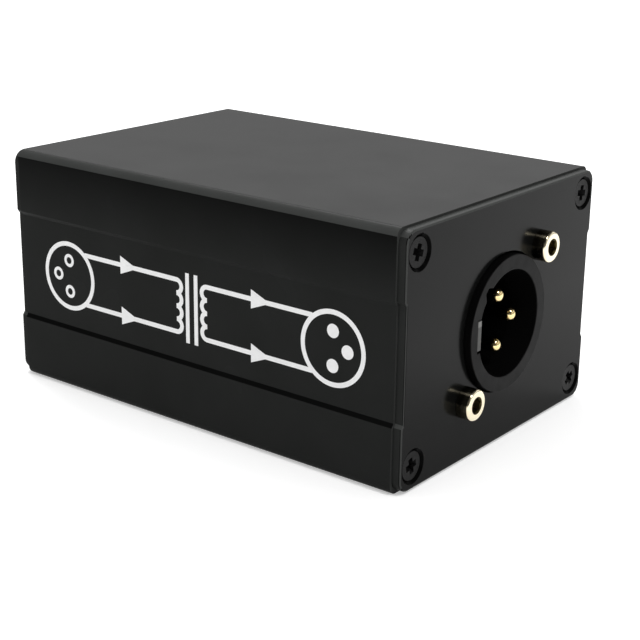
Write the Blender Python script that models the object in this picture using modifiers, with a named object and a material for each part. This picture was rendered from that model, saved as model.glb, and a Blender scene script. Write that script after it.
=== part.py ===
"""Passive ground loop isolator: an extruded aluminium case with an audio socket at each end.

The model is in metres with Z up. The origin is at the middle of the underside. +X points to
the end with the male socket, and -Y is the long side that faces the viewer. Each end is
modelled in a frame of its own: x to the right and y up as one looks at that end from outside,
z out of it, and the origin on the outer face of its end plate, at the middle of the socket.
"""
import math

import bmesh
import bpy
from mathutils import Matrix

MM = 0.001
PART_NAME = "ground_loop_isolator"

# Gaps between neighbours: GAP around things, SEAT under a face that rests on another. A cutter
# goes PAST the face that it cuts, and points closer than WELD are one point.
GAP = 0.3 * MM
SEAT = 0.2 * MM
PAST = 1.0 * MM
WELD = 0.001 * MM

# Case: an aluminium extrusion with a shallow label band sunk in both long sides.
LENGTH = 90.0 * MM
WIDTH = 60.0 * MM
HEIGHT = 44.5 * MM
CORNER_RADIUS = 1.6 * MM
BAND_DEPTH = 0.5 * MM
BAND_FLAT_HALF = 9.8 * MM
BAND_SLOPE = 0.7 * MM
SIDE_WALL = 2.2 * MM
FLAT_WALL = 1.9 * MM
BOSS_RADIUS = 3.5 * MM
BOSS_HOLE_RADIUS = 1.6 * MM
RIB_DEPTH = 1.6 * MM
RIB_THICK = 0.9 * MM

# End plates and the screws in their corners.
PLATE_THICK = 1.6 * MM
PLATE_INSET = 0.4 * MM
PLATE_SEAM = 0.1 * MM
PLATE_CORNER_RADIUS = 2.3 * MM
CORNER_SCREW_X = 26.05 * MM
CORNER_SCREW_Y = 17.9 * MM
SINK_RADIUS = 3.1 * MM
PLATE_HOLE_RADIUS = 1.75 * MM
HEAD_RADIUS = 2.55 * MM
HEAD_BELOW_FACE = 0.35 * MM
HEAD_RIM = 0.15 * MM
CORNER_SHANK_RADIUS = 1.25 * MM
CORNER_SCREW_LENGTH = 9.0 * MM
SCREW_POINT_RADIUS = 0.4 * MM
CROSS_HALF_LENGTH = 1.45 * MM
CROSS_FOOT_HALF_LENGTH = 0.6 * MM
CROSS_HALF_WIDTH = 0.36 * MM
CROSS_DEPTH = 1.3 * MM

# Socket head cap screws that hold the sockets, on one diagonal of a square.
CAP_SCREW_OFFSET = 11.3 * MM
CAP_HEAD_RADIUS = 2.75 * MM
CAP_HEAD_HEIGHT = 2.5 * MM
CAP_EDGE = 0.3 * MM
CAP_SHANK_RADIUS = 1.3 * MM
CAP_SCREW_LENGTH = 5.0 * MM
HEX_KEY_ACROSS_FLATS = 2.5 * MM
HEX_KEY_DEPTH = 1.5 * MM

# What the two sockets have in common.
BARREL_RADIUS = 12.05 * MM
BARREL_PROUD = 1.2 * MM
BARREL_EDGE = 0.15 * MM
BODY_RADIUS = 10.8 * MM
BODY_DEPTH = 18.5 * MM
FLOOR_DEPTH = 15.5 * MM
FLANGE_HALF = 14.2 * MM
FLANGE_CORNER = 3.0 * MM
FLANGE_THICK = 2.6 * MM
FLANGE_OVERLAP = 0.5 * MM
CONTACT_CIRCLE_RADIUS = 4.5 * MM
CONTACT_ANGLES = (90, 0, -90)
TAIL_DEPTHS = (26.5 * MM, 24.5 * MM, 22.5 * MM)
TAIL_RADIUS = 0.5 * MM

# Male socket.
MOUTH_RADIUS = 9.45 * MM
BORE_RADIUS = 8.3 * MM
LEAD_IN_DEPTH = 3.5 * MM
PIN_RADIUS = 1.2 * MM
PIN_TIP_DEPTH = 0.4 * MM
PIN_TIP_RADIUS = 0.9 * MM
CATCH_HEIGHT = 5.3 * MM
CATCH_THICK = 1.15 * MM
CATCH_DEPTH = 4.0 * MM
CATCH_OUTER_X = 9.65 * MM
KEY_NOTCH_ANGLE = 135
KEY_NOTCH_INNER_RADIUS = 8.0 * MM
KEY_NOTCH_OUTER_RADIUS = 10.6 * MM
KEY_NOTCH_MOUTH_HALF_WIDTH = 2.3 * MM
KEY_NOTCH_FOOT_HALF_WIDTH = 0.6 * MM
KEY_NOTCH_DEPTH = 3.5 * MM

# Female socket.
SOCKET_BORE_RADIUS = 9.6 * MM
CARRIER_RADIUS = 7.9 * MM
CARRIER_FRONT = 0.4 * MM
CARRIER_FLANGE_RADIUS = 10.0 * MM
CARRIER_FLANGE_THICK = 1.6 * MM
CONTACT_RADIUS = 1.6 * MM
CONTACT_BORE_RADIUS = 1.25 * MM
CONTACT_ENTRY_RADIUS = 1.5 * MM
CONTACT_FRONT = 2.2 * MM
CONTACT_BACK = 13.5 * MM
CARRIER_EDGE = 0.3 * MM
KEYWAY_HALF_WIDTH = 1.1 * MM
KEYWAY_DEPTH = 0.9 * MM

# Circuit board, which slides in between the ribs of the case.
BOARD_THICK = 1.6 * MM
BOARD_TOP = 10.8 * MM
BOARD_HALF_LENGTH = 39.5 * MM
BOARD_SIDE_GAP = 0.4 * MM
TAIL_BELOW_BOARD = 1.2 * MM

# Transformer: an E and I core whose middle leg stands up through the winding bobbin.
CORE_WIDTH = 25.0 * MM
CORE_STACK = 10.0 * MM
CORE_TOP = 32.3 * MM
CORE_BOTTOM = 11.3 * MM
YOKE = 3.5 * MM
MIDDLE_LEG = 7.0 * MM
BOBBIN_WALL = 0.8 * MM
BOBBIN_FLANGE = 1.0 * MM
BOBBIN_HALF_LENGTH = 9.6 * MM
WINDING_THICK = 1.4 * MM
TERMINAL_RADIUS = 0.4 * MM
TERMINAL_X = 8.0 * MM
TERMINAL_PITCH = 6.0 * MM
TERMINAL_TOP = 13.4 * MM
CLAMP_THICK = 0.6 * MM
CLAMP_HALF_WIDTH = 4.0 * MM
TAB_HALF_WIDTH = 1.5 * MM

# Facets round a full turn, and steps along an arc.
ROUND_LARGE = 48
ROUND_MEDIUM = 24
ROUND_SMALL = 16
ROUND_HOLE = 12
ROUND_TINY = 10
CORNER_STEPS = 5
BOSS_STEPS = 8
TIP_STEPS = 4
SMOOTH_ANGLE = 35

# Worked out from the sizes above.
MID_HEIGHT = HEIGHT / 2
BODY_HALF_LENGTH = LENGTH / 2 - PLATE_THICK - PLATE_SEAM
CAVITY_HALF_WIDTH = WIDTH / 2 - SIDE_WALL
CAVITY_HALF_HEIGHT = MID_HEIGHT - FLAT_WALL
BOARD_BOTTOM = BOARD_TOP - BOARD_THICK
BOARD_HALF_WIDTH = CAVITY_HALF_WIDTH - BOARD_SIDE_GAP
WINDOW_BOTTOM = CORE_BOTTOM + YOKE
WINDOW_TOP = CORE_TOP - YOKE
WINDOW_WIDTH = (CORE_WIDTH - MIDDLE_LEG) / 2 - YOKE
TUBE_HALF_WIDTH = MIDDLE_LEG / 2 + GAP + BOBBIN_WALL
TUBE_HALF_LENGTH = CORE_STACK / 2 + GAP + BOBBIN_WALL
CLAMP_INNER_HALF = CORE_WIDTH / 2 + GAP


# Blender housekeeping

def clear_scene():
    """Remove every object that the scene starts with."""
    for leftover in list(bpy.data.objects):
        bpy.data.objects.remove(leftover)


def new_collection(name):
    collection = bpy.data.collections.new(name)
    bpy.context.scene.collection.children.link(collection)
    return collection


def new_material(name, colour, roughness, metallic=0.0):
    """A Principled BSDF material. The colour is linear red, green and blue."""
    material = bpy.data.materials.new(name)
    material.use_nodes = True
    shader = material.node_tree.nodes["Principled BSDF"]
    shader.inputs["Base Color"].default_value = (*colour, 1.0)
    shader.inputs["Roughness"].default_value = roughness
    shader.inputs["Metallic"].default_value = metallic
    return material


def add_piece(name, data, material, parent=None, location=(0, 0, 0)):
    """Put a mesh or a curve in the part's collection as one named piece."""
    piece = bpy.data.objects.new(name, data)
    parts.objects.link(piece)
    piece.location = location
    piece.parent = parent
    if not data.materials:
        data.materials.append(material)
    return piece


def add_cutter(name, mesh, parent=None, location=(0, 0, 0)):
    """A shape that a piece is cut by or joined with."""
    cutter = bpy.data.objects.new(name, mesh)
    cutters.objects.link(cutter)
    cutter.location = location
    cutter.parent = parent
    cutter.hide_render = True
    cutter.display_type = "WIRE"
    return cutter


def combine(piece, other, operation="DIFFERENCE"):
    """Cut the other shape out of the piece, or join it on."""
    boolean = piece.modifiers.new(other.name, "BOOLEAN")
    boolean.operation = operation
    boolean.solver = "EXACT"
    boolean.object = other


def evaluated_mesh(piece):
    """The mesh that a piece's curve and modifiers make, in the piece's own frame."""
    bpy.context.view_layer.update()
    depsgraph = bpy.context.evaluated_depsgraph_get()
    mesh = bpy.data.meshes.new_from_object(piece.evaluated_get(depsgraph))
    working = bmesh.new()
    working.from_mesh(mesh)
    bmesh.ops.remove_doubles(working, verts=working.verts, dist=WELD)
    bmesh.ops.recalc_face_normals(working, faces=working.faces)
    working.to_mesh(mesh)
    working.free()
    return mesh


def settle(piece):
    """Replace the piece's modifiers by the mesh that they make, with its round faces smooth."""
    mesh = evaluated_mesh(piece)
    piece.modifiers.clear()
    mesh.shade_smooth()
    mesh.set_sharp_from_angle(angle=math.radians(SMOOTH_ANGLE))
    mesh.name = piece.name
    piece.data = mesh
    return piece


def repeat(piece, name, parent, location=(0, 0, 0)):
    """Another piece of the same shape, which shares its mesh."""
    return add_piece(name, piece.data, None, parent, location)


# Outlines and basic shapes

def circle(radius, count, centre=(0.0, 0.0)):
    """Points round a circle, counter-clockwise."""
    turns = [2 * math.pi * step / count for step in range(count)]
    return [(centre[0] + radius * math.cos(a), centre[1] + radius * math.sin(a)) for a in turns]


def arc(centre, radius, start, end, count):
    """Points along an arc from one angle to another, in degrees, with both ends."""
    angles = [math.radians(start + (end - start) * step / count) for step in range(count + 1)]
    return [(centre[0] + radius * math.cos(a), centre[1] + radius * math.sin(a)) for a in angles]


def fourfold(quarter):
    """A closed outline from its upper right quarter, whose points run counter-clockwise."""
    upper_left = [(-x, y) for x, y in reversed(quarter)]
    lower_left = [(-x, -y) for x, y in quarter]
    lower_right = [(x, -y) for x, y in reversed(quarter)]
    return quarter + upper_left + lower_left + lower_right


def rounded_rectangle(half_x, half_y, radius, count=CORNER_STEPS):
    return fourfold(arc((half_x - radius, half_y - radius), radius, 0, 90, count))


def flat_curve(name, outlines, thickness):
    """A filled 2D curve with the first outline outside and the others as holes."""
    curve = bpy.data.curves.new(name, "CURVE")
    curve.dimensions = "2D"
    curve.fill_mode = "BOTH"
    curve.extrude = thickness / 2
    for outline in outlines:
        spline = curve.splines.new("POLY")
        spline.points.add(len(outline) - 1)
        for point, (x, y) in zip(spline.points, outline):
            point.co = (x, y, 0.0, 1.0)
        spline.use_cyclic_u = True
    return curve


def flat_mesh(name, outlines, thickness):
    """The same flat shape as a mesh, for a piece that is cut or joined."""
    guide = bpy.data.objects.new(name, flat_curve(name, outlines, thickness))
    cutters.objects.link(guide)
    mesh = evaluated_mesh(guide)
    bpy.data.objects.remove(guide)
    return mesh


def wire_mesh(name, route, radius):
    """A round wire along straight stretches, as a mesh with welded ends."""
    curve = bpy.data.curves.new(name, "CURVE")
    curve.dimensions = "3D"
    curve.bevel_depth = radius
    curve.bevel_resolution = 1
    curve.use_fill_caps = True
    spline = curve.splines.new("POLY")
    spline.points.add(len(route) - 1)
    for point, place in zip(spline.points, route):
        point.co = (*place, 1.0)
    guide = bpy.data.objects.new(name, curve)
    cutters.objects.link(guide)
    mesh = evaluated_mesh(guide)
    bpy.data.objects.remove(guide)
    return mesh


def box_mesh(name, low, high):
    """A box between two corners."""
    working = bmesh.new()
    bmesh.ops.create_cube(working, size=1.0)
    size = [b - a for a, b in zip(low, high)]
    middle = [(a + b) / 2 for a, b in zip(low, high)]
    bmesh.ops.transform(working, matrix=Matrix.Diagonal((*size, 1.0)), verts=working.verts)
    bmesh.ops.translate(working, vec=middle, verts=working.verts)
    mesh = bpy.data.meshes.new(name)
    working.to_mesh(mesh)
    working.free()
    return mesh


def cone_mesh(name, bottom_radius, top_radius, bottom, top, count):
    """A cylinder or cone about z, between two heights."""
    working = bmesh.new()
    bmesh.ops.create_cone(working, cap_ends=True, segments=count, radius1=bottom_radius,
                          radius2=top_radius, depth=top - bottom)
    bmesh.ops.translate(working, vec=(0, 0, (bottom + top) / 2), verts=working.verts)
    mesh = bpy.data.meshes.new(name)
    working.to_mesh(mesh)
    working.free()
    return mesh


def add_turned(name, profile, count, material, parent, closed=False, location=(0, 0, 0)):
    """A turned piece: its profile of radius and height runs down the outer side, top to bottom."""
    last = len(profile) - 1
    edges = [(step, step + 1) for step in range(last)]
    if closed:
        edges.append((last, 0))
    mesh = bpy.data.meshes.new(name)
    mesh.from_pydata([(radius, 0.0, height) for radius, height in profile], edges, [])
    piece = add_piece(name, mesh, material, parent, location)
    screw = piece.modifiers.new("turn", "SCREW")
    screw.axis = "Z"
    screw.angle = 2 * math.pi
    screw.steps = count
    screw.render_steps = count
    screw.use_merge_vertices = True
    screw.merge_threshold = WELD
    return piece


# Case

def case_outline(radius, inset=0.0):
    """Section of the case: rounded corners, and a shallow band sunk in each long side."""
    half_width = WIDTH / 2 - inset
    half_height = MID_HEIGHT - inset
    band = [(half_width - BAND_DEPTH, BAND_FLAT_HALF), (half_width, BAND_FLAT_HALF + BAND_SLOPE)]
    corner = arc((half_width - radius, half_height - radius), radius, 0, 90, CORNER_STEPS)
    return fourfold(band + corner)


def cavity_outline():
    """Inside of the case, with the ribs that hold the board and a boss in each corner."""
    wall = CAVITY_HALF_WIDTH
    slot_low = MID_HEIGHT - BOARD_TOP - GAP
    slot_high = MID_HEIGHT - BOARD_BOTTOM + GAP
    outline = []
    for low, high in ((slot_low - RIB_THICK, slot_low), (slot_high, slot_high + RIB_THICK)):
        outline += [(wall, low), (wall - RIB_DEPTH, low), (wall - RIB_DEPTH, high), (wall, high)]
    side_run = wall - CORNER_SCREW_X
    top_run = CAVITY_HALF_HEIGHT - CORNER_SCREW_Y
    start = -math.degrees(math.acos(side_run / BOSS_RADIUS))
    end = -180 - math.degrees(math.asin(top_run / BOSS_RADIUS))
    outline += arc((CORNER_SCREW_X, CORNER_SCREW_Y), BOSS_RADIUS, start, end, BOSS_STEPS)
    return fourfold(outline)


def corner_places():
    return [(x, y) for x in (-CORNER_SCREW_X, CORNER_SCREW_X) for y in (-CORNER_SCREW_Y, CORNER_SCREW_Y)]


def make_case():
    """The extrusion lies along X: the curve's x becomes Y, its y becomes Z and its z becomes X."""
    holes = [circle(BOSS_HOLE_RADIUS, ROUND_HOLE, place) for place in corner_places()]
    outlines = [case_outline(CORNER_RADIUS), cavity_outline(), *holes]
    section = flat_curve("case_body", outlines, 2 * BODY_HALF_LENGTH)
    section.materials.append(anodised)
    body = add_piece("case_body", section, anodised)
    body.matrix_world = end_matrix(1) @ Matrix.Translation((0, 0, -LENGTH / 2))


def end_matrix(side):
    """Frame of one end of the case: side is 1 at the +X end and -1 at the -X end."""
    frame = Matrix(((0, 0, side), (side, 0, 0), (0, 1, 0))).to_4x4()
    frame.translation = (side * LENGTH / 2, 0, MID_HEIGHT)
    return frame


def add_end(name, side):
    """An empty that carries all the pieces of one end."""
    end = bpy.data.objects.new(name, None)
    parts.objects.link(end)
    end.matrix_world = end_matrix(side)
    return end


def cap_screw_places():
    return [(CAP_SCREW_OFFSET, CAP_SCREW_OFFSET), (-CAP_SCREW_OFFSET, -CAP_SCREW_OFFSET)]


def make_end_plates(ends):
    """Two like plates, cut to the section of the case, with countersunk corner holes."""
    holes = [circle(BARREL_RADIUS + GAP, ROUND_LARGE)]
    holes += [circle(CAP_SHANK_RADIUS + GAP, ROUND_HOLE, place) for place in cap_screw_places()]
    outline = case_outline(PLATE_CORNER_RADIUS, PLATE_INSET)
    mesh = flat_mesh("male_end_plate", [outline, *holes], PLATE_THICK)
    mesh.transform(Matrix.Translation((0, 0, -PLATE_THICK / 2)))
    plate = add_piece("male_end_plate", mesh, anodised, ends[0])
    for number, (x, y) in enumerate(corner_places(), 1):
        hole = cone_mesh("hole", PLATE_HOLE_RADIUS, PLATE_HOLE_RADIUS, -PLATE_THICK - PAST, 0,
                         ROUND_MEDIUM)
        combine(plate, add_cutter(f"plate_hole_{number}", hole, ends[0], (x, y, 0)))
        slope = SINK_RADIUS - PLATE_HOLE_RADIUS
        sink = cone_mesh("sink", PLATE_HOLE_RADIUS, SINK_RADIUS + PAST, -slope, PAST, ROUND_MEDIUM)
        combine(plate, add_cutter(f"plate_sink_{number}", sink, ends[0], (x, y, 0)))
    settle(plate)
    repeat(plate, "female_end_plate", ends[1])


def make_corner_screws(ends):
    """Eight countersunk screws with a cross recess, which cut their thread in the bosses."""
    top = -HEAD_BELOW_FACE
    cone = top - HEAD_RIM - (HEAD_RADIUS - CORNER_SHANK_RADIUS)
    foot = top - CORNER_SCREW_LENGTH
    profile = [(0, top), (HEAD_RADIUS, top), (HEAD_RADIUS, top - HEAD_RIM), (CORNER_SHANK_RADIUS, cone),
               (CORNER_SHANK_RADIUS, foot + PAST), (SCREW_POINT_RADIUS, foot), (0, foot)]
    places = corner_places()
    first = add_turned("male_corner_screw_1", profile, ROUND_SMALL, black_steel, ends[0],
                       location=(*places[0], 0))
    for number, angle in enumerate((0, 90)):
        blade = cross_blade(top)
        blade.transform(Matrix.Rotation(math.radians(angle), 4, "Z"))
        combine(first, add_cutter(f"cross_{number}", blade, ends[0], (*places[0], 0)))
    settle(first)
    for number, place in enumerate(places[1:], 2):
        repeat(first, f"male_corner_screw_{number}", ends[0], (*place, 0))
    for number, place in enumerate(places, 1):
        repeat(first, f"female_corner_screw_{number}", ends[1], (*place, 0))


def cross_blade(top):
    """One tapered wing of the cross recess, narrow at its foot."""
    outline = [(-CROSS_HALF_LENGTH, PAST), (CROSS_HALF_LENGTH, PAST),
               (CROSS_FOOT_HALF_LENGTH, -CROSS_DEPTH), (-CROSS_FOOT_HALF_LENGTH, -CROSS_DEPTH)]
    blade = flat_mesh("blade", [outline], 2 * CROSS_HALF_WIDTH)
    blade.transform(Matrix.Translation((0, 0, top)) @ Matrix.Rotation(math.radians(90), 4, "X"))
    return blade


def make_cap_screws(ends):
    """Four socket head cap screws, two at each end, through the plate into the socket's flange."""
    foot = -CAP_SCREW_LENGTH
    profile = [(0, CAP_HEAD_HEIGHT), (CAP_HEAD_RADIUS - CAP_EDGE, CAP_HEAD_HEIGHT),
               (CAP_HEAD_RADIUS, CAP_HEAD_HEIGHT - CAP_EDGE), (CAP_HEAD_RADIUS, SEAT),
               (CAP_SHANK_RADIUS, SEAT), (CAP_SHANK_RADIUS, foot), (0, foot)]
    places = cap_screw_places()
    first = add_turned("male_cap_screw_1", profile, ROUND_MEDIUM, gilt_steel, ends[0],
                       location=(*places[0], 0))
    key_radius = HEX_KEY_ACROSS_FLATS / math.sqrt(3)
    key = cone_mesh("key", key_radius, key_radius, CAP_HEAD_HEIGHT - HEX_KEY_DEPTH,
                    CAP_HEAD_HEIGHT + PAST, 6)
    combine(first, add_cutter("hex_key", key, ends[0], (*places[0], 0)))
    settle(first)
    repeat(first, "male_cap_screw_2", ends[0], (*places[1], 0))
    for number, place in enumerate(places, 1):
        repeat(first, f"female_cap_screw_{number}", ends[1], (*place, 0))


# Sockets

def contact_places():
    """The three contacts stand on a circle: two on the upright through the middle, one to the right."""
    angles = [math.radians(angle) for angle in CONTACT_ANGLES]
    return [(CONTACT_CIRCLE_RADIUS * math.cos(a), CONTACT_CIRCLE_RADIUS * math.sin(a)) for a in angles]


def barrel_profile(mouth_radius):
    """Outer side of a socket's barrel, from the lip of its mouth down to the edge of its back."""
    step = -PLATE_THICK - GAP
    return [(mouth_radius, BARREL_PROUD), (BARREL_RADIUS - BARREL_EDGE, BARREL_PROUD),
            (BARREL_RADIUS, BARREL_PROUD - BARREL_EDGE), (BARREL_RADIUS, step),
            (BODY_RADIUS, step), (BODY_RADIUS, -BODY_DEPTH)]


def join_flange(housing, end):
    """Square flange behind the end plate, tapped for the two cap screws."""
    front = -PLATE_THICK - GAP
    taps = [circle(CAP_SHANK_RADIUS + GAP, ROUND_HOLE, place) for place in cap_screw_places()]
    outline = rounded_rectangle(FLANGE_HALF, FLANGE_HALF, FLANGE_CORNER)
    bore = circle(BODY_RADIUS - FLANGE_OVERLAP, ROUND_LARGE)
    flange = flat_mesh("flange", [outline, bore, *taps], FLANGE_THICK)
    flange.transform(Matrix.Translation((0, 0, front - FLANGE_THICK / 2)))
    combine(housing, add_cutter(f"{housing.name}_flange", flange, end), "UNION")


def make_male_housing(end):
    """A barrel with a floor for three pins, a key notch and a catch plate let into its left side."""
    profile = [(0, -FLOOR_DEPTH), (BORE_RADIUS, -FLOOR_DEPTH), (BORE_RADIUS, -LEAD_IN_DEPTH)]
    profile += barrel_profile(MOUTH_RADIUS) + [(0, -BODY_DEPTH)]
    housing = add_turned("male_housing", profile, ROUND_LARGE, black_plastic, end)
    join_flange(housing, end)
    for number, place in enumerate(contact_places(), 1):
        hole = cone_mesh("hole", PIN_RADIUS + GAP, PIN_RADIUS + GAP, -BODY_DEPTH - PAST,
                         -FLOOR_DEPTH + PAST, ROUND_SMALL)
        combine(housing, add_cutter(f"pin_hole_{number}", hole, end, (*place, 0)))
    half_height = CATCH_HEIGHT / 2 + GAP
    slot = box_mesh("slot", (-CATCH_OUTER_X - GAP, -half_height, -CATCH_DEPTH - GAP),
                    (-BORE_RADIUS + PAST, half_height, BARREL_PROUD + PAST))
    combine(housing, add_cutter("catch_slot", slot, end))
    outline = [(KEY_NOTCH_INNER_RADIUS, -KEY_NOTCH_MOUTH_HALF_WIDTH),
               (KEY_NOTCH_OUTER_RADIUS, -KEY_NOTCH_FOOT_HALF_WIDTH),
               (KEY_NOTCH_OUTER_RADIUS, KEY_NOTCH_FOOT_HALF_WIDTH),
               (KEY_NOTCH_INNER_RADIUS, KEY_NOTCH_MOUTH_HALF_WIDTH)]
    notch = flat_mesh("notch", [outline], 2 * KEY_NOTCH_DEPTH)
    notch.transform(Matrix.Rotation(math.radians(KEY_NOTCH_ANGLE), 4, "Z"))
    combine(housing, add_cutter("key_notch", notch, end))
    settle(housing)
    plate = box_mesh("male_catch_plate", (-CATCH_OUTER_X, -CATCH_HEIGHT / 2, -CATCH_DEPTH),
                     (-CATCH_OUTER_X + CATCH_THICK, CATCH_HEIGHT / 2, BARREL_PROUD - SEAT))
    add_piece("male_catch_plate", plate, nickel, end)


def tail_route(place, start, depth):
    """Out of the back of a contact, then straight down through the board."""
    x, y = place
    foot = BOARD_BOTTOM - TAIL_BELOW_BOARD - MID_HEIGHT
    return [(x, y, start), (x, y, -depth), (x, foot, -depth)]


def make_male_pins(end):
    """Three round-tipped pins, each with a thin tail that goes down to the board."""
    middle = (PIN_RADIUS - PIN_TIP_RADIUS, -PIN_TIP_DEPTH - PIN_TIP_RADIUS)
    nose = arc(middle, PIN_TIP_RADIUS, 90, 0, TIP_STEPS)
    back = -BODY_DEPTH - PAST
    profile = [(0, -PIN_TIP_DEPTH), *nose, (PIN_RADIUS, back), (0, back)]
    for number, (place, depth) in enumerate(zip(contact_places(), TAIL_DEPTHS), 1):
        pin = add_turned(f"male_pin_{number}", profile, ROUND_SMALL, gilt_brass, end,
                         location=(*place, 0))
        tail = wire_mesh("tail", tail_route(place, back + PAST, depth), TAIL_RADIUS)
        combine(pin, add_cutter(f"male_tail_{number}", tail, end), "UNION")
        settle(pin)


def make_female_housing(end):
    """A barrel with a ring gap round its carrier, which a cable plug's sleeve slides into."""
    seat_radius = CARRIER_RADIUS + GAP
    profile = [(seat_radius, -FLOOR_DEPTH), (SOCKET_BORE_RADIUS, -FLOOR_DEPTH)]
    profile += barrel_profile(SOCKET_BORE_RADIUS) + [(seat_radius, -BODY_DEPTH)]
    housing = add_turned("female_housing", profile, ROUND_LARGE, black_plastic, end, closed=True)
    join_flange(housing, end)
    settle(housing)


def make_contact_carrier(end):
    """The carrier is pushed in from behind until its flange meets the housing's back."""
    shoulder = -BODY_DEPTH - GAP
    back = shoulder - CARRIER_FLANGE_THICK
    profile = [(0, -CARRIER_FRONT), (CARRIER_RADIUS - CARRIER_EDGE, -CARRIER_FRONT),
               (CARRIER_RADIUS, -CARRIER_FRONT - CARRIER_EDGE), (CARRIER_RADIUS, shoulder),
               (CARRIER_FLANGE_RADIUS, shoulder), (CARRIER_FLANGE_RADIUS, back), (0, back)]
    carrier = add_turned("contact_carrier", profile, ROUND_MEDIUM, black_plastic, end)
    for number, place in enumerate(contact_places(), 1):
        entry = cone_mesh("entry", CONTACT_ENTRY_RADIUS, CONTACT_ENTRY_RADIUS, back - PAST, PAST,
                          ROUND_HOLE)
        combine(carrier, add_cutter(f"contact_entry_{number}", entry, end, (*place, 0)))
        chamber_radius = CONTACT_RADIUS + GAP
        chamber = cone_mesh("chamber", chamber_radius, chamber_radius, back - PAST,
                            GAP - CONTACT_FRONT, ROUND_HOLE)
        combine(carrier, add_cutter(f"contact_chamber_{number}", chamber, end, (*place, 0)))
    keyway = box_mesh("keyway", (-CARRIER_RADIUS - PAST, -KEYWAY_HALF_WIDTH, -FLOOR_DEPTH),
                      (KEYWAY_DEPTH - CARRIER_RADIUS, KEYWAY_HALF_WIDTH, PAST))
    combine(carrier, add_cutter("carrier_keyway", keyway, end))
    settle(carrier)


def make_female_contacts(end):
    """Three sleeves that a plug's pins enter, each with a thin tail down to the board."""
    back = -BODY_DEPTH - CARRIER_FLANGE_THICK - PAST
    profile = [(0, -CONTACT_BACK), (CONTACT_BORE_RADIUS, -CONTACT_BACK),
               (CONTACT_BORE_RADIUS, -CONTACT_FRONT), (CONTACT_RADIUS, -CONTACT_FRONT),
               (CONTACT_RADIUS, back), (0, back)]
    for number, (place, depth) in enumerate(zip(contact_places(), TAIL_DEPTHS), 1):
        contact = add_turned(f"female_contact_{number}", profile, ROUND_SMALL, gilt_brass, end,
                             location=(*place, 0))
        tail = wire_mesh("tail", tail_route(place, back + PAST, depth), TAIL_RADIUS)
        combine(contact, add_cutter(f"female_tail_{number}", tail, end), "UNION")
        settle(contact)


# Circuit board and transformer

def terminal_places():
    rows = (-TERMINAL_PITCH, 0.0, TERMINAL_PITCH)
    return [(x, y) for x in (-TERMINAL_X, TERMINAL_X) for y in rows]


def make_board():
    """The board has a hole for every tail and terminal, and a slot for each tab of the clamp."""
    holes = []
    for side in (1, -1):
        for (x, _), depth in zip(contact_places(), TAIL_DEPTHS):
            middle = (side * (LENGTH / 2 - depth), side * x)
            holes.append(circle(TAIL_RADIUS + GAP, ROUND_TINY, middle))
    holes += [circle(TERMINAL_RADIUS + GAP, ROUND_TINY, place) for place in terminal_places()]
    slot_middle = CLAMP_INNER_HALF + CLAMP_THICK / 2
    for side in (1, -1):
        slot = fourfold([(TAB_HALF_WIDTH + GAP, CLAMP_THICK / 2 + GAP)])
        holes.append([(x, y + side * slot_middle) for x, y in slot])
    outline = fourfold([(BOARD_HALF_LENGTH, BOARD_HALF_WIDTH)])
    section = flat_curve("circuit_board", [outline, *holes], BOARD_THICK)
    add_piece("circuit_board", section, board_green, location=(0, 0, BOARD_TOP - BOARD_THICK / 2))


def make_core():
    """The E stands with its legs down, and the I closes them underneath."""
    half_stack = CORE_STACK / 2
    half_width = CORE_WIDTH / 2
    block = box_mesh("transformer_core_e", (-half_stack, -half_width, WINDOW_BOTTOM),
                     (half_stack, half_width, CORE_TOP))
    e_core = add_piece("transformer_core_e", block, core_steel)
    for side in (1, -1):
        edges = sorted((side * MIDDLE_LEG / 2, side * (MIDDLE_LEG / 2 + WINDOW_WIDTH)))
        window = box_mesh("window", (-half_stack - PAST, edges[0], WINDOW_BOTTOM - PAST),
                          (half_stack + PAST, edges[1], WINDOW_TOP))
        combine(e_core, add_cutter(f"core_window_{side}", window))
    settle(e_core)
    i_core = box_mesh("transformer_core_i", (-half_stack, -half_width, CORE_BOTTOM),
                      (half_stack, half_width, WINDOW_BOTTOM - SEAT))
    add_piece("transformer_core_i", i_core, core_steel)


def make_bobbin():
    """A spool with two flanges and a foot block at each end, which holds the terminals."""
    low = WINDOW_BOTTOM + GAP
    high = WINDOW_TOP - GAP
    half_width = MIDDLE_LEG / 2 + WINDOW_WIDTH - GAP
    tube = box_mesh("transformer_bobbin", (-TUBE_HALF_LENGTH, -TUBE_HALF_WIDTH, low),
                    (TUBE_HALF_LENGTH, TUBE_HALF_WIDTH, high))
    bobbin = add_piece("transformer_bobbin", tube, bobbin_nylon)
    for name, base, top in (("low", low, low + BOBBIN_FLANGE), ("high", high - BOBBIN_FLANGE, high)):
        flange = box_mesh(name, (-BOBBIN_HALF_LENGTH, -half_width, base),
                          (BOBBIN_HALF_LENGTH, half_width, top))
        combine(bobbin, add_cutter(f"bobbin_flange_{name}", flange), "UNION")
    inner = CORE_STACK / 2 + GAP
    for side in (1, -1):
        ends = sorted((side * inner, side * BOBBIN_HALF_LENGTH))
        block = box_mesh("block", (ends[0], -half_width, BOARD_TOP + GAP),
                         (ends[1], half_width, low + BOBBIN_FLANGE / 2))
        combine(bobbin, add_cutter(f"bobbin_block_{side}", block), "UNION")
    leg_hole = box_mesh("leg_hole", (-inner, -MIDDLE_LEG / 2 - GAP, low - PAST),
                        (inner, MIDDLE_LEG / 2 + GAP, high + PAST))
    combine(bobbin, add_cutter("bobbin_leg_hole", leg_hole))
    for number, place in enumerate(terminal_places(), 1):
        hole = cone_mesh("hole", TERMINAL_RADIUS + GAP, TERMINAL_RADIUS + GAP, BOARD_TOP - PAST,
                         TERMINAL_TOP + GAP, ROUND_TINY)
        combine(bobbin, add_cutter(f"terminal_hole_{number}", hole, location=(*place, 0)))
    settle(bobbin)


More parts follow.
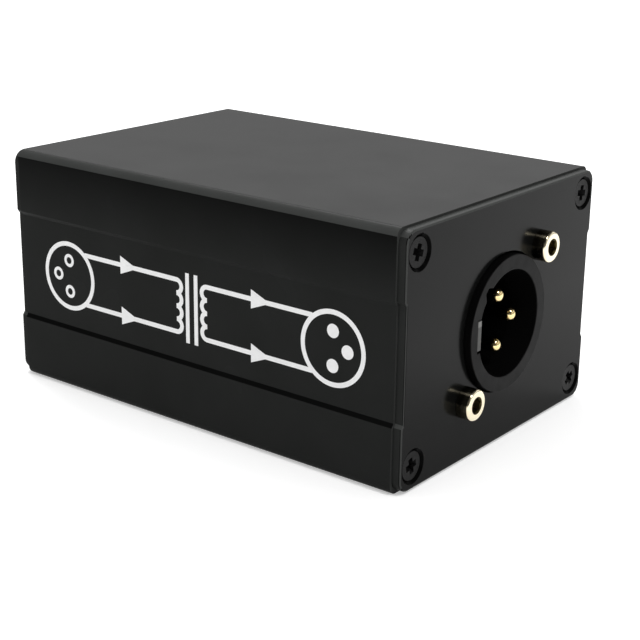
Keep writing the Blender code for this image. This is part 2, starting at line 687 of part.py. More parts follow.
def make_windings():
    """Two coils of the same number of turns, one wound over the other."""
    low = WINDOW_BOTTOM + 2 * GAP + BOBBIN_FLANGE
    high = WINDOW_TOP - 2 * GAP - BOBBIN_FLANGE
    inner_length = TUBE_HALF_LENGTH + GAP
    inner_width = TUBE_HALF_WIDTH + GAP
    for name in ("primary_winding", "secondary_winding"):
        outer_length = inner_length + WINDING_THICK
        outer_width = inner_width + WINDING_THICK
        outlines = [rounded_rectangle(outer_length, outer_width, WINDING_THICK + GAP),
                    rounded_rectangle(inner_length, inner_width, GAP, 2)]
        coil = flat_curve(name, outlines, high - low)
        add_piece(name, coil, copper, location=(0, 0, (low + high) / 2))
        inner_length = outer_length + GAP
        inner_width = outer_width + GAP


def make_terminals():
    """Six straight wire terminals, pressed into the bobbin's foot blocks."""
    length = TERMINAL_TOP - BOARD_BOTTOM + TAIL_BELOW_BOARD
    mesh = cone_mesh("terminal_1", TERMINAL_RADIUS, TERMINAL_RADIUS, -length, 0, ROUND_TINY)
    first = None
    for number, place in enumerate(terminal_places(), 1):
        location = (*place, TERMINAL_TOP)
        if first is None:
            first = settle(add_piece("terminal_1", mesh, tinned, location=location))
        else:
            repeat(first, f"terminal_{number}", None, location)


def make_clamp():
    """A strap of sheet steel over the core, with a tab at each foot that goes through the board."""
    foot = BOARD_TOP + GAP
    top = CORE_TOP + GAP
    inner = CLAMP_INNER_HALF
    outer = inner + CLAMP_THICK
    strap = [(-inner, foot), (-inner, top), (inner, top), (inner, foot),
             (outer, foot), (outer, top + CLAMP_THICK), (-outer, top + CLAMP_THICK), (-outer, foot)]
    mesh = flat_mesh("transformer_clamp", [strap], 2 * CLAMP_HALF_WIDTH)
    mesh.transform(end_matrix(1).to_3x3().to_4x4())
    clamp = add_piece("transformer_clamp", mesh, tinned)
    for side in (1, -1):
        edges = sorted((side * inner, side * outer))
        tab = box_mesh("tab", (-TAB_HALF_WIDTH, edges[0], BOARD_BOTTOM - TAIL_BELOW_BOARD),
                       (TAB_HALF_WIDTH, edges[1], foot + PAST))
        combine(clamp, add_cutter(f"clamp_tab_{side}", tab), "UNION")
    settle(clamp)


clear_scene()
parts = new_collection(PART_NAME)
cutters = new_collection("cutters")

anodised = new_material("black_anodised_aluminium", (0.008, 0.008, 0.008), 0.3)
black_steel = new_material("black_steel", (0.01, 0.01, 0.01), 0.36)
gilt_steel = new_material("gilt_steel", (0.9, 0.8, 0.56), 0.2, 1.0)
gilt_brass = new_material("gilt_brass", (0.9, 0.7, 0.36), 0.2, 1.0)
black_plastic = new_material("black_plastic", (0.006, 0.006, 0.006), 0.42)
nickel = new_material("nickel", (0.5, 0.5, 0.48), 0.3, 1.0)
board_green = new_material("board_green", (0.02, 0.12, 0.05), 0.5)
core_steel = new_material("core_steel", (0.25, 0.25, 0.26), 0.5, 0.9)
bobbin_nylon = new_material("bobbin_nylon", (0.55, 0.53, 0.47), 0.55)
copper = new_material("enamelled_copper", (0.45, 0.15, 0.06), 0.3, 0.9)
tinned = new_material("tinned_steel", (0.6, 0.6, 0.6), 0.35, 1.0)

male_end = add_end("male_end", 1)
female_end = add_end("female_end", -1)
both_ends = (male_end, female_end)

make_case()
make_end_plates(both_ends)
make_corner_screws(both_ends)
make_cap_screws(both_ends)
make_male_housing(male_end)
make_male_pins(male_end)
make_female_housing(female_end)
make_contact_carrier(female_end)
make_female_contacts(female_end)
make_board()
make_core()
make_bobbin()
make_windings()
make_terminals()
make_clamp()

for spent_cutter in list(cutters.objects):
    bpy.data.objects.remove(spent_cutter)
bpy.data.collections.remove(cutters)
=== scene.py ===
# %% [markdown]
# # A passive ground loop isolator
# This lesson dresses a small black audio box: an extruded aluminium case, a flat plate screwed
# on each end, a male socket on the right and a female one on the left, and a transformer inside.
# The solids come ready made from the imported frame, so every piece below only has to look right
# and stay where its solid is.
#
# There are three ways to dress a solid. It can keep its own mesh and get a better material, a
# modifier can round its edges, or a finer piece can stand in for it. The outside of this box gets
# finer pieces, because its look depends on small rounded edges that catch the light. The inside,
# which no one sees, keeps its solids.

# %% Load the fixed frame
import math

import bmesh
import bpy
from mathutils import Matrix, Vector


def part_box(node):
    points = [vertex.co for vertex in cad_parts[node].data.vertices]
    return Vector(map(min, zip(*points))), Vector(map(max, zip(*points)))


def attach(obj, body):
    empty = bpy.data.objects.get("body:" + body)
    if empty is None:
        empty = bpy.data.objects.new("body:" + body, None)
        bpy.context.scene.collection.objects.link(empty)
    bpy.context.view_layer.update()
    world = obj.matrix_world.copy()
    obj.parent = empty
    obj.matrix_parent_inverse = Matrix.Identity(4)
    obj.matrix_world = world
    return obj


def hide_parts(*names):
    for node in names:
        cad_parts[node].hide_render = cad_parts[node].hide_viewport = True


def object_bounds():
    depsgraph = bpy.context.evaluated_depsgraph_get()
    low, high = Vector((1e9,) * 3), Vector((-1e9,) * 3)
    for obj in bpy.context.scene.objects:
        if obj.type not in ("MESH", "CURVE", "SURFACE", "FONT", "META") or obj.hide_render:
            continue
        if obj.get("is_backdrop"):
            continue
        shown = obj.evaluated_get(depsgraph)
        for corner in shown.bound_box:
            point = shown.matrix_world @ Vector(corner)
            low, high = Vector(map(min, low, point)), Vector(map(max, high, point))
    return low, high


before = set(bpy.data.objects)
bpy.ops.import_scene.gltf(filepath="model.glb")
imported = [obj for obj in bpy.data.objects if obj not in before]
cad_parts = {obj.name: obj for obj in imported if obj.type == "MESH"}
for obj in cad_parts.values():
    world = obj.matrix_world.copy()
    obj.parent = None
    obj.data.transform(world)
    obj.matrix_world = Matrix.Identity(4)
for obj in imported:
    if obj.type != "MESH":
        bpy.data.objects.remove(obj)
cad_low, cad_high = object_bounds()
MM = 0.001
print("nodes:", len(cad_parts), "box mm:", [round(size / MM, 2) for size in cad_high - cad_low])

# %% [markdown]
# ## Where things are
# Both ends are alike from outside, so each is described in a frame of its own: x to the right
# and y up as one looks at that end, z out of it, and the origin on the plate's face in the middle
# of the socket. One matrix per end turns such a description into the place in the room. The
# positions could also be typed in for each screw, but then the two ends could drift apart.

# %% Frames of the two ends
case_low, case_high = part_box("case_body")
plate_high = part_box("male_end_plate")[1]
MID_HEIGHT = (case_low.z + case_high.z) / 2
FACE_X = plate_high.x


def end_matrix(side):
    """Frame of one end: side is 1 at the male end and -1 at the female end."""
    matrix = Matrix(((0, 0, side), (side, 0, 0), (0, 1, 0))).to_4x4()
    matrix.translation = (side * FACE_X, 0, MID_HEIGHT)
    return matrix


ENDS = {"male": end_matrix(1), "female": end_matrix(-1)}
print("plate face at", round(FACE_X / MM, 2), "mm, socket at height", round(MID_HEIGHT / MM, 2), "mm")

# %% [markdown]
# ## Camera
# The box was photographed from a little above, with its long side to the left and the male end
# to the right. A camera can be placed by eye, or worked out from points whose real places are
# known. Here the corners, screws and pins were matched, which gives a place, three directions and
# a focal length. A small shift puts the box where it is in the frame without tilting it.

# %% Camera
CAMERA_RIGHT = Vector((0.79158, 0.61086, 0.01575))
CAMERA_UP = Vector((-0.19675, 0.23039, 0.953))
CAMERA_BACK = CAMERA_RIGHT.cross(CAMERA_UP).normalized()
camera_data = bpy.data.cameras.new("view")
camera_data.sensor_width = 36.0
camera_data.lens = 80.33
camera_data.shift_x = -0.02604
camera_data.shift_y = -0.03693
camera = bpy.data.objects.new("view", camera_data)
bpy.context.scene.collection.objects.link(camera)
camera.matrix_world = Matrix((CAMERA_RIGHT, CAMERA_UP, CAMERA_BACK)).transposed().to_4x4()
camera.location = Vector((163.011, -201.531, 99.911)) * MM
bpy.context.scene.camera = camera
print("camera", round(camera.location.length / MM), "mm from the middle of the box's underside")

# %% [markdown]
# ## Floor, backdrop and light
# The photograph is a plain product shot on white, with a faint soft shadow at the foot of the
# box. A white floor can be made by adding light until it burns out, but then the box would be too
# bright as well. Instead the floor glows a little for the camera and in reflections only, and the
# rest of its brightness is ordinary light, so that the shadow still shows.
#
# A black box shows little light of its own. Nearly all that one sees of it is what it mirrors, so
# the world has a picture for mirror rays: white at most, brightest a little above the horizon at
# the back, dim overhead and on the camera's side, like a studio with one lit wall. A plain white
# world would do for a pale object, but it would turn every side of this one the same grey.

# %% Floor and world
def link(tree, source, target):
    tree.links.new(source, target)


def seen_directly(tree):
    """1 for rays from the camera and mirror or glass rays, and 0 for the rest."""
    path = tree.nodes.new("ShaderNodeLightPath")
    total = None
    for name in ("Is Camera Ray", "Is Glossy Ray", "Is Transmission Ray"):
        if total is None:
            total = path.outputs[name]
            continue
        add = tree.nodes.new("ShaderNodeMath")
        add.operation = "MAXIMUM"
        link(tree, total, add.inputs[0])
        link(tree, path.outputs[name], add.inputs[1])
        total = add.outputs[0]
    return total


FLOOR_HALF = 2.5
FLOOR_GAP = 0.02 * MM
PAPER_WHITE = 0.85
FLOOR_GLOW = 0.36
WORLD_LIGHT = 0.74

floor_mesh = bpy.data.meshes.new("floor")
signs = ((-1, -1), (1, -1), (1, 1), (-1, 1))
floor_corners = [(x * FLOOR_HALF, y * FLOOR_HALF, -FLOOR_GAP) for x, y in signs]
floor_mesh.from_pydata(floor_corners, [], [(0, 1, 2, 3)])
floor = bpy.data.objects.new("floor", floor_mesh)
bpy.context.scene.collection.objects.link(floor)
floor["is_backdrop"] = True

paper = bpy.data.materials.new("white_paper")
paper.use_nodes = True
tree = paper.node_tree
tree.nodes.clear()
output = tree.nodes.new("ShaderNodeOutputMaterial")
matt = tree.nodes.new("ShaderNodeBsdfDiffuse")
matt.inputs["Color"].default_value = (PAPER_WHITE, PAPER_WHITE, PAPER_WHITE, 1)
glow = tree.nodes.new("ShaderNodeEmission")
scale = tree.nodes.new("ShaderNodeMath")
scale.operation = "MULTIPLY"
scale.inputs[1].default_value = FLOOR_GLOW
both = tree.nodes.new("ShaderNodeAddShader")
link(tree, seen_directly(tree), scale.inputs[0])
link(tree, scale.outputs[0], glow.inputs["Strength"])
link(tree, matt.outputs[0], both.inputs[0])
link(tree, glow.outputs[0], both.inputs[1])
link(tree, both.outputs[0], output.inputs["Surface"])
floor_mesh.materials.append(paper)

world = bpy.data.worlds.new("studio")
bpy.context.scene.world = world
world.use_nodes = True
tree = world.node_tree
background = tree.nodes["Background"]
background.inputs["Color"].default_value = (1, 1, 1, 1)
strength = tree.nodes.new("ShaderNodeMapRange")
strength.inputs["To Min"].default_value = WORLD_LIGHT
strength.inputs["To Max"].default_value = 1.0
link(tree, seen_directly(tree), strength.inputs["Value"])

# Share of white by the sine of the height above the horizon, and from the camera's side to the back.
SKY = ((0.0, 0.3), (0.177, 0.31), (0.215, 0.5), (0.254, 1.0), (0.5, 0.75), (0.62, 0.05), (1.0, 0.05))
FRONT_ENDS, BACK_STARTS = -0.25, 0.1
FRONT_SHARE, BACK_SHARE = 0.1, 1.0
direction = tree.nodes.new("ShaderNodeTexCoord")
parts = tree.nodes.new("ShaderNodeSeparateXYZ")
link(tree, direction.outputs["Generated"], parts.inputs[0])
by_height = tree.nodes.new("ShaderNodeValToRGB")
for number, (height, share) in enumerate(SKY):
    ramp = by_height.color_ramp.elements
    stop = ramp[number] if number < 2 else ramp.new(height)
    stop.position = height
    stop.color = (share, share, share, 1)
behind = tree.nodes.new("ShaderNodeMapRange")
behind.inputs["From Min"].default_value = FRONT_ENDS
behind.inputs["From Max"].default_value = BACK_STARTS
behind.inputs["To Min"].default_value = FRONT_SHARE
behind.inputs["To Max"].default_value = BACK_SHARE
sky = tree.nodes.new("ShaderNodeMath")
sky.operation = "MULTIPLY"
rise = tree.nodes.new("ShaderNodeMath")
rise.operation = "SUBTRACT"
rise.inputs[1].default_value = 1.0
link(tree, parts.outputs["Z"], by_height.inputs["Fac"])
link(tree, parts.outputs["Y"], behind.inputs["Value"])
link(tree, by_height.outputs["Color"], sky.inputs[0])
link(tree, behind.outputs[0], sky.inputs[1])
link(tree, sky.outputs[0], rise.inputs[0])
mirrored = tree.nodes.new("ShaderNodeMath")
mirrored.operation = "MULTIPLY_ADD"
link(tree, rise.outputs[0], mirrored.inputs[0])
link(tree, tree.nodes.new("ShaderNodeLightPath").outputs["Is Glossy Ray"], mirrored.inputs[1])
link(tree, strength.outputs[0], mirrored.inputs[2])
link(tree, mirrored.outputs[0], background.inputs["Strength"])
bpy.context.scene.view_settings.view_transform = "Standard"
print("floor", 2 * FLOOR_HALF, "m across, world light", WORLD_LIGHT)

# %% [markdown]
# Two soft lamps shape the box. The key stands high behind its left end, draws the streaks on the
# round screws and lays a faint shadow in front of the right end. The small glint on the right
# lights the foot of the long side and the end plate's details. One large lamp overhead would be
# simpler, but it would leave the round parts without a highlight.

# %% Lamps
def add_lamp(name, place, aim, size, power):
    """A square soft lamp that looks at a point."""
    data = bpy.data.lights.new(name, "AREA")
    data.size = size
    data.energy = power
    lamp = bpy.data.objects.new(name, data)
    bpy.context.scene.collection.objects.link(lamp)
    lamp.location = place
    lamp.rotation_mode = "QUATERNION"
    lamp.rotation_quaternion = (Vector(place) - Vector(aim)).to_track_quat("Z", "Y")
    lamp.visible_camera = False
    return lamp


BOX_MIDDLE = (0, 0, MID_HEIGHT)
add_lamp("key", (-0.6, 0.4, 1.0), BOX_MIDDLE, 0.6, 7.5)
add_lamp("glint", (0.65, -0.1, 1.0), BOX_MIDDLE, 0.24, 4.3)

print("lamps:", [light.name for light in bpy.data.lights])

# %% [markdown]
# ## Materials
# Every finish is a Principled BSDF with a little unevenness from noise in its colour, roughness
# and bump. Image textures would need files, and flat colours look like plastic toys, so noise in
# the object's own coordinates is used: it sticks to the surface and has a real size in metres.

# %% Helpers for materials
def new_finish(name, colour, roughness, metallic=0.0, ior=1.5):
    """A material with its shader's plain values."""
    material = bpy.data.materials.new(name)
    material.use_nodes = True
    shader = material.node_tree.nodes["Principled BSDF"]
    shader.inputs["Base Color"].default_value = (*colour, 1)
    shader.inputs["Roughness"].default_value = roughness
    shader.inputs["Metallic"].default_value = metallic
    shader.inputs["IOR"].default_value = ior
    return material


def add_noise(material, size, detail=2.0, stretch=(1, 1, 1)):
    """Noise whose patches are about that size in metres, stretched along some axes."""
    tree = material.node_tree
    place = tree.nodes.new("ShaderNodeTexCoord")
    mapping = tree.nodes.new("ShaderNodeMapping")
    mapping.inputs["Scale"].default_value = [1 / (size * s) for s in stretch]
    noise = tree.nodes.new("ShaderNodeTexNoise")
    noise.inputs["Scale"].default_value = 1.0
    noise.inputs["Detail"].default_value = detail
    link(tree, place.outputs["Object"], mapping.inputs["Vector"])
    link(tree, mapping.outputs["Vector"], noise.inputs["Vector"])
    return noise.outputs["Fac"]


def vary(material, socket, factor, low, high):
    """Let a number of the shader run between two values with the noise."""
    tree = material.node_tree
    spread = tree.nodes.new("ShaderNodeMapRange")
    spread.inputs["From Min"].default_value = 0.3
    spread.inputs["From Max"].default_value = 0.7
    spread.inputs["To Min"].default_value = low
    spread.inputs["To Max"].default_value = high
    link(tree, factor, spread.inputs["Value"])
    link(tree, spread.outputs["Result"], tree.nodes["Principled BSDF"].inputs[socket])


def tint(material, factor, dark, light):
    """Let the colour run between two tones with the factor."""
    tree = material.node_tree
    ramp = tree.nodes.new("ShaderNodeValToRGB")
    ramp.color_ramp.elements[0].position = 0.3
    ramp.color_ramp.elements[0].color = (*dark, 1)
    ramp.color_ramp.elements[1].position = 0.7
    ramp.color_ramp.elements[1].color = (*light, 1)
    link(tree, factor, ramp.inputs["Fac"])
    link(tree, ramp.outputs["Color"], tree.nodes["Principled BSDF"].inputs["Base Color"])


def roughen(material, height, depth, strength=1.0):
    """Bump the surface by the noise, so many metres deep. A second call adds to the first."""
    tree = material.node_tree
    shader = tree.nodes["Principled BSDF"]
    bump = tree.nodes.new("ShaderNodeBump")
    bump.inputs["Distance"].default_value = depth
    bump.inputs["Strength"].default_value = strength
    if shader.inputs["Normal"].is_linked:
        link(tree, shader.inputs["Normal"].links[0].from_socket, bump.inputs["Normal"])
    link(tree, height, bump.inputs["Height"])
    link(tree, bump.outputs["Normal"], shader.inputs["Normal"])


# %% [markdown]
# The case and the plates are black anodised aluminium. Etching before the dye leaves a fine satin
# grain, and the die leaves faint lines along the extrusion. The dye is a black layer of oxide, so
# the shader is not metallic: it is a dark surface with a clear sheen. The plates are sheet metal
# and have the grain but no die lines.
#
# On the real box this is one coat. How light a face looks depends on what it mirrors in a studio
# that the photograph doesn't show, and one finish under this lesson's plain lamps left several
# faces too light or too dark. So each kind of face gets a lit or shaded copy of the finish, painted
# light and shade set by comparing its tone with the photograph: a painted sheen, the strongest, on
# the top, a paler painted highlight on the rounded edges, with one more painted sheen where the top
# starts to turn down, painted shade on the band's lower slope and in the countersinks, painted light
# on the cut ends and on the plates' rims, a painted highlight on the plates' front edges, the long
# sides painted darker towards the top, and the plates' sheen painted weaker towards their foot. What
# differs is the depth of the dye and the IOR, which sets how strong the sheen is. These are fitted
# values, not measured.

# %% Anodised aluminium
def along(material, axis, start, end, low, high):
    """A number that runs from low to high between two places on an axis of the piece."""
    tree = material.node_tree
    place = tree.nodes.new("ShaderNodeTexCoord")
    parts = tree.nodes.new("ShaderNodeSeparateXYZ")
    fade = tree.nodes.new("ShaderNodeMapRange")
    fade.inputs["From Min"].default_value = start
    fade.inputs["From Max"].default_value = end
    fade.inputs["To Min"].default_value = low
    fade.inputs["To Max"].default_value = high
    link(tree, place.outputs["Object"], parts.inputs[0])
    link(tree, parts.outputs[axis], fade.inputs["Value"])
    return fade.outputs["Result"]


def darken(material, share):
    """Multiply the colour by a number that differs from place to place."""
    tree = material.node_tree
    colour = tree.nodes["Principled BSDF"].inputs["Base Color"]
    scale = tree.nodes.new("ShaderNodeVectorMath")
    scale.operation = "SCALE"
    link(tree, colour.links[0].from_socket, scale.inputs[0])
    link(tree, share, scale.inputs["Scale"])
    link(tree, scale.outputs[0], colour)


def anodised_finish(name, dye, ior, roughness, die_lines=False):
    material = new_finish(name, (dye, dye, dye), roughness, ior=ior)
    grain = add_noise(material, 0.16 * MM, 3.0)
    cloud = add_noise(material, 14 * MM, 2.0)
    tint(material, cloud, (0.9 * dye, 0.94 * dye, 0.9 * dye), (1.06 * dye, 1.1 * dye, 1.07 * dye))
    vary(material, "Roughness", cloud, 0.85 * roughness, 1.15 * roughness)
    roughen(material, grain, 0.004 * MM, 0.6)
    if die_lines:
        lines = add_noise(material, 0.35 * MM, 2.0, (400, 1, 1))
        roughen(material, lines, 0.003 * MM, 0.4)
    return material


anodised_case = anodised_finish("anodised_case", 0.018, 1.065, 0.25, die_lines=True)
# Painted shade: the long sides are darkened towards the top.
darken(anodised_case, along(anodised_case, "Z", 33 * MM, 42.9 * MM, 1.0, 0.3))
# Lit and shaded copies of the case's finish: painted sheen, painted highlight, painted shade and painted
# light for kinds of face.
anodised_top_painted_sheen = anodised_finish("anodised_top_painted_sheen", 0.006, 1.176, 0.22, die_lines=True)
anodised_turn_painted_sheen = anodised_finish("anodised_turn_painted_sheen", 0.03, 1.11, 0.25, die_lines=True)
anodised_edge_painted_highlight = anodised_finish("anodised_edge_painted_highlight", 0.045, 1.065, 0.42, die_lines=True)
anodised_step_painted_shade = anodised_finish("anodised_step_painted_shade", 0.004, 1.03, 0.3, die_lines=True)
anodised_cut_painted_light = anodised_finish("anodised_cut_painted_light", 0.034, 1.065, 0.3)
anodised_rim_painted_light = anodised_finish("anodised_rim_painted_light", 0.021, 1.065, 0.25)
anodised_plate = anodised_finish("anodised_plate", 0.004, 1.16, 0.18)
# Painted shade: the plate's sheen is made weaker towards its foot.
plate_painted_shade = along(anodised_plate, "Y", -20 * MM, 2 * MM, 1.12, 1.166)
link(anodised_plate.node_tree, plate_painted_shade, anodised_plate.node_tree.nodes["Principled BSDF"].inputs["IOR"])
anodised_brow_painted_highlight = anodised_finish("anodised_brow_painted_highlight", 0.048, 1.12, 0.25)
anodised_sink_painted_shade = anodised_finish("anodised_sink_painted_shade", 0.002, 1.07, 0.25)

# %% [markdown]
# The small metal parts differ mostly in colour and in how sharp their reflections are: blackened
# steel for the corner screws, pale gilt for the cap screws and contacts, nickel for the strip in
# the male socket. Plated parts are smooth, so they only get a faint unevenness. The strip's upper
# end is lighter in the photograph, and so is each cap screw's side near its face. Both are painted
# highlights that fade along an axis here, by values that were fitted.

# %% Metals
black_steel = new_finish("blackened_steel", (0.006, 0.006, 0.006), 0.36, ior=1.17)
vary(black_steel, "Roughness", add_noise(black_steel, 0.5 * MM), 0.3, 0.44)
roughen(black_steel, add_noise(black_steel, 0.12 * MM), 0.003 * MM, 0.5)

def plated_finish(name, colour, low, high, patch, grain, stretch=(1, 1, 1)):
    """Bright plating, whose sharpness of reflection runs between two roughnesses."""
    material = new_finish(name, colour, low, 1.0)
    vary(material, "Roughness", add_noise(material, patch, 2.0, stretch), low, high)
    roughen(material, add_noise(material, grain, 2.0, stretch), 0.002 * MM, 0.4)
    return material


gilt_steel = plated_finish("gilt_steel", (0.93, 0.84, 0.62), 0.14, 0.22, 0.6 * MM, 0.2 * MM)
# Painted shade for the pins' shafts in the dark barrel.
gilt_painted_shade = plated_finish("gilt_painted_shade", (0.21, 0.188, 0.135), 0.11, 0.16, 0.6 * MM, 0.2 * MM)
# Painted shade on the cap screws' sides, fading to a painted highlight near the face.
PAINTED_SHADE_GILT, PAINTED_HIGHLIGHT_GILT = (0.14, 0.125, 0.09), (0.42, 0.376, 0.27)
cap_side_painted_light_and_shade = plated_finish("cap_side_painted_light_and_shade", PAINTED_SHADE_GILT, 0.16, 0.24, 0.6 * MM, 0.2 * MM)
tint(cap_side_painted_light_and_shade, along(cap_side_painted_light_and_shade, "Z", 0.4 * MM, 2.1 * MM, 0, 1), PAINTED_SHADE_GILT, PAINTED_HIGHLIGHT_GILT)
# Painted shade for the walls of the cap screws' hexagon recess.
gilt_recess_painted_shade = plated_finish("gilt_recess_painted_shade", (0.05, 0.04, 0.015), 0.35, 0.45, 0.6 * MM, 0.2 * MM)
gilt_contact = plated_finish("gilt_contact", (0.93, 0.74, 0.38), 0.13, 0.22, 0.5 * MM, 0.15 * MM)
# Painted shade darkens the strip's nickel, and a painted highlight lights its upper end.
PAINTED_SHADE_NICKEL, PAINTED_HIGHLIGHT_NICKEL = (0.056, 0.056, 0.054), (0.14, 0.14, 0.135)
nickel = plated_finish("nickel_plate", PAINTED_SHADE_NICKEL, 0.3, 0.4, 0.4 * MM, 0.1 * MM, (1, 1, 6))
tint(nickel, along(nickel, "Y", 1.45 * MM, 1.75 * MM, 0, 1), PAINTED_SHADE_NICKEL, PAINTED_HIGHLIGHT_NICKEL)
tinned = plated_finish("tinned_steel", (0.56, 0.56, 0.55), 0.26, 0.42, 0.8 * MM, 0.3 * MM)

# %% [markdown]
# The sockets are moulded in black nylon with a fine spark-eroded texture, the bobbin in the same
# plastic without dye. The board has a green solder mask over its glass cloth, whose weave shows
# faintly. The core is a stack of thin sheets, so its bump is a set of fine layers, and the coils
# show turn beside turn of enamelled wire.

# %% Plastics, board, core and coils
def nylon_finish(name, colour, ior):
    material = new_finish(name, colour, 0.42, ior=ior)
    vary(material, "Roughness", add_noise(material, 2 * MM), 0.38, 0.47)
    roughen(material, add_noise(material, 0.12 * MM, 3.0), 0.006 * MM, 0.5)
    return material


socket_nylon = nylon_finish("socket_nylon", (0.002, 0.002, 0.002), 1.15)
shaded_nylon = nylon_finish("shaded_nylon", (0.002, 0.002, 0.002), 1.05)

bobbin_nylon = new_finish("bobbin_nylon", (0.55, 0.53, 0.47), 0.5)
tint(bobbin_nylon, add_noise(bobbin_nylon, 4 * MM), (0.52, 0.5, 0.43), (0.6, 0.58, 0.52))
roughen(bobbin_nylon, add_noise(bobbin_nylon, 0.15 * MM, 3.0), 0.006 * MM, 0.4)

solder_mask = new_finish("solder_mask", (0.02, 0.12, 0.05), 0.3)
tint(solder_mask, add_noise(solder_mask, 3 * MM), (0.014, 0.1, 0.04), (0.026, 0.14, 0.06))
roughen(solder_mask, add_noise(solder_mask, 0.3 * MM, 1.0, (1, 4, 1)), 0.01 * MM, 0.3)
roughen(solder_mask, add_noise(solder_mask, 0.3 * MM, 1.0, (4, 1, 1)), 0.01 * MM, 0.3)

core_sheets = new_finish("core_sheets", (0.25, 0.25, 0.26), 0.45, 0.9)
sheet_layers = add_noise(core_sheets, 0.35 * MM, 0.0, (1, 200, 200))
tint(core_sheets, sheet_layers, (0.16, 0.15, 0.15), (0.3, 0.3, 0.31))
roughen(core_sheets, sheet_layers, 0.05 * MM, 0.6)

enamelled_wire = new_finish("enamelled_wire", (0.45, 0.15, 0.06), 0.25, 0.8)
wire_turns = add_noise(enamelled_wire, 0.12 * MM, 0.0, (200, 200, 1))
tint(enamelled_wire, wire_turns, (0.3, 0.09, 0.03), (0.55, 0.2, 0.08))
roughen(enamelled_wire, wire_turns, 0.05 * MM, 0.6)

white_ink = new_finish("white_ink", (0.88, 0.88, 0.88), 0.5)
tint(white_ink, add_noise(white_ink, 1.5 * MM, 3.0), (0.85, 0.85, 0.85), (0.9, 0.9, 0.9))
roughen(white_ink, add_noise(white_ink, 0.2 * MM, 2.0), 0.006 * MM, 0.5)
print("finishes:", len(bpy.data.materials))

# %% [markdown]
# ## Tools for shapes
# Three kinds of shape make up nearly everything here: a flat outline with thickness, a profile
# turned round an axis, and a box that cuts. Metal and moulded edges are never quite sharp. A bevel
# modifier could round them, but it stumbles on edges that were cut, so the roundings are drawn
# into the outlines and profiles themselves.

# %% Outlines and profiles
def softened(corners, steps=4, closed=True):
    """Outline whose corners (x, y, radius) become short arcs."""
    outline = []
    last = len(corners) - 1
    for place, (x, y, radius) in enumerate(corners):
        here = Vector((x, y))
        if not radius or (not closed and place in (0, last)):
            outline.append((x, y))
            continue
        before = (Vector(corners[place - 1][:2]) - here).normalized()
        after = (Vector(corners[(place + 1) % (last + 1)][:2]) - here).normalized()
        half = before.angle(after) / 2
        middle = here + (before + after).normalized() * (radius / math.sin(half))
        start = here + before * (radius / math.tan(half)) - middle
        end = here + after * (radius / math.tan(half)) - middle
        sweep = math.atan2(start.cross(end), start.dot(end))
        outline += [tuple(middle + Matrix.Rotation(sweep * step / steps, 2) @ start)
                    for step in range(steps + 1)]
    return outline


def circle(radius, count=64, centre=(0, 0)):
    turns = [2 * math.pi * step / count for step in range(count)]
    return [(centre[0] + radius * math.cos(a), centre[1] + radius * math.sin(a)) for a in turns]


def fourfold(quarter):
    """A closed outline from its upper right quarter, whose corners run counter-clockwise."""
    quarters = [quarter, [(-x, y, r) for x, y, r in reversed(quarter)],
                [(-x, -y, r) for x, y, r in quarter], [(x, -y, r) for x, y, r in reversed(quarter)]]
    return [corner for part in quarters for corner in part]


# %% Meshes from them
def clean(mesh):
    """Weld points that coincide and turn all faces outwards."""
    working = bmesh.new()
    working.from_mesh(mesh)
    bmesh.ops.remove_doubles(working, verts=working.verts, dist=0.0005 * MM)
    bmesh.ops.dissolve_limit(working, angle_limit=math.radians(0.05), verts=working.verts,
                             edges=working.edges)
    bmesh.ops.recalc_face_normals(working, faces=working.faces)
    working.to_mesh(mesh)
    working.free()
    return mesh


def evaluated(guide):
    """The mesh that a guide object's curve and modifiers make. The guide is removed."""
    bpy.context.view_layer.update()
    mesh = bpy.data.meshes.new_from_object(guide.evaluated_get(bpy.context.evaluated_depsgraph_get()))
    bpy.data.objects.remove(guide)
    return clean(mesh)


def flat_mesh(outlines, thickness, edge=0.0):
    """Outlines, the first outside and the others holes, with thickness below z = 0 and round edges."""
    curve = bpy.data.curves.new("flat", "CURVE")
    curve.dimensions = "2D"
    curve.fill_mode = "BOTH"
    curve.extrude = thickness / 2 - edge
    curve.bevel_depth = edge
    curve.bevel_resolution = 2
    curve.offset = -edge
    for number, outline in enumerate(outlines):
        spline = curve.splines.new("POLY")
        spline.points.add(len(outline) - 1)
        for point, (x, y) in zip(spline.points, outline if number == 0 else outline[::-1]):
            point.co = (x, y, 0, 1)
        spline.use_cyclic_u = True
    guide = bpy.data.objects.new("flat", curve)
    bpy.context.scene.collection.objects.link(guide)
    mesh = evaluated(guide)
    mesh.transform(Matrix.Translation((0, 0, -thickness / 2)))
    return mesh


def turned_mesh(profile, count=64, closed=False):
    """A profile of radius and height, turned about z. Points on the axis become poles."""
    verts, rings, faces = [], [], []
    for radius, height in profile:
        if radius < 1e-9:
            rings.append([len(verts)] * count)
            verts.append((0, 0, height))
        else:
            rings.append(range(len(verts), len(verts) + count))
            verts += [(x, y, height) for x, y in circle(radius, count)]
    pairs = list(zip(rings, rings[1:])) + ([(rings[-1], rings[0])] if closed else [])
    for upper, lower in pairs:
        for step in range(count):
            after = (step + 1) % count
            corners = [upper[step], lower[step], lower[after], upper[after]]
            face = list(dict.fromkeys(corners))
            if len(face) > 2:
                faces.append(face)
    mesh = bpy.data.meshes.new("turned")
    mesh.from_pydata(verts, [], faces)
    return clean(mesh)


def box_mesh(low, high):
    working = bmesh.new()
    bmesh.ops.create_cube(working, size=1.0)
    size = [b - a for a, b in zip(low, high)]
    middle = [(a + b) / 2 for a, b in zip(low, high)]
    bmesh.ops.transform(working, matrix=Matrix.Diagonal((*size, 1)), verts=working.verts)
    bmesh.ops.translate(working, vec=middle, verts=working.verts)
    mesh = bpy.data.meshes.new("box")
    working.to_mesh(mesh)
    working.free()
    return mesh


